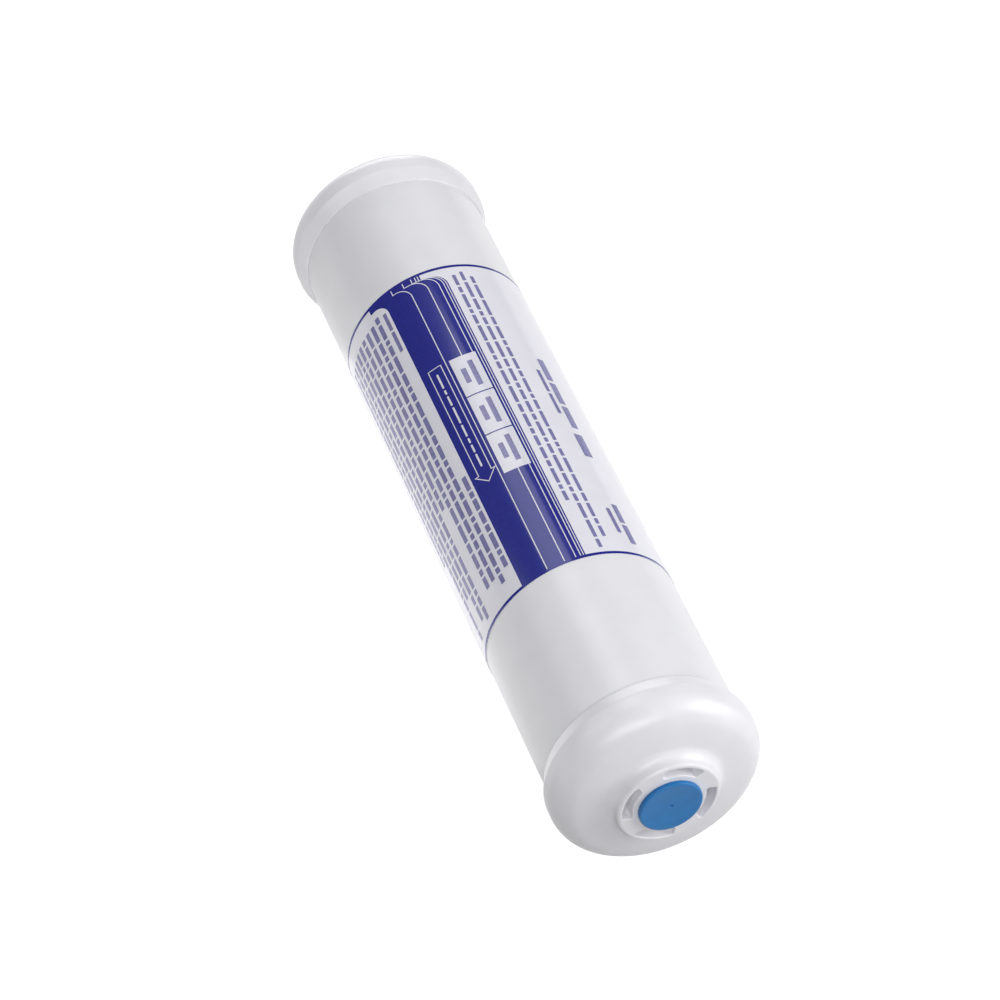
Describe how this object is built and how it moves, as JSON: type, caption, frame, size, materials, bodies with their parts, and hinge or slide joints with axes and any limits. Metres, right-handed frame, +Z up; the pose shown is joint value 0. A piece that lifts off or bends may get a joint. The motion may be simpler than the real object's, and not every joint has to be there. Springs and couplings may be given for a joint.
{
  "type": "in-line water filter cartridge",
  "caption": "Sealed in-line water filter cartridge: plastic tube with welded domed end caps, threaded end ports, wrap label, carbon block inside and a push-in plug in the outlet.",
  "frame": {"origin": "on the surface that the cartridge lies on, below the middle of its whole length", "axes": "+Y along the cartridge's axis from the plugged outlet towards the open inlet, +Z up, +X to the right seen from the outlet end"},
  "size_m": [0.0546, 0.2276, 0.0547],
  "materials": {
    "tube_polypropylene": "extruded white polypropylene, soft gloss",
    "cap_polypropylene": "moulded white polypropylene, soft gloss",
    "label_film": "printed pale film",
    "blue_polyethylene": "moulded blue polyethylene",
    "bonded_carbon": "bonded activated carbon",
    "polypropylene_fleece": "white spunbonded fleece",
    "disc_polypropylene": "moulded natural polypropylene",
    "seal_rubber": "moulded black rubber"
  },
  "bodies": {
    "cartridge": {"housing_tube": "tube_polypropylene", "inlet_cap": "cap_polypropylene", "outlet_cap": "cap_polypropylene", "label": "label_film", "carbon_block": "bonded_carbon", "fleece_wrap": "polypropylene_fleece", "inlet_end_disc": "disc_polypropylene", "outlet_end_disc": "disc_polypropylene", "spigot_seals": "seal_rubber"},
    "plug": {"outlet_plug": "blue_polyethylene"}
  },
  "joints": [
    {"name": "plug_pull", "type": "slide", "parent": "cartridge", "child": "plug", "axis": [0, -1, 0], "range_m": [0, 0.03]}
  ]
}
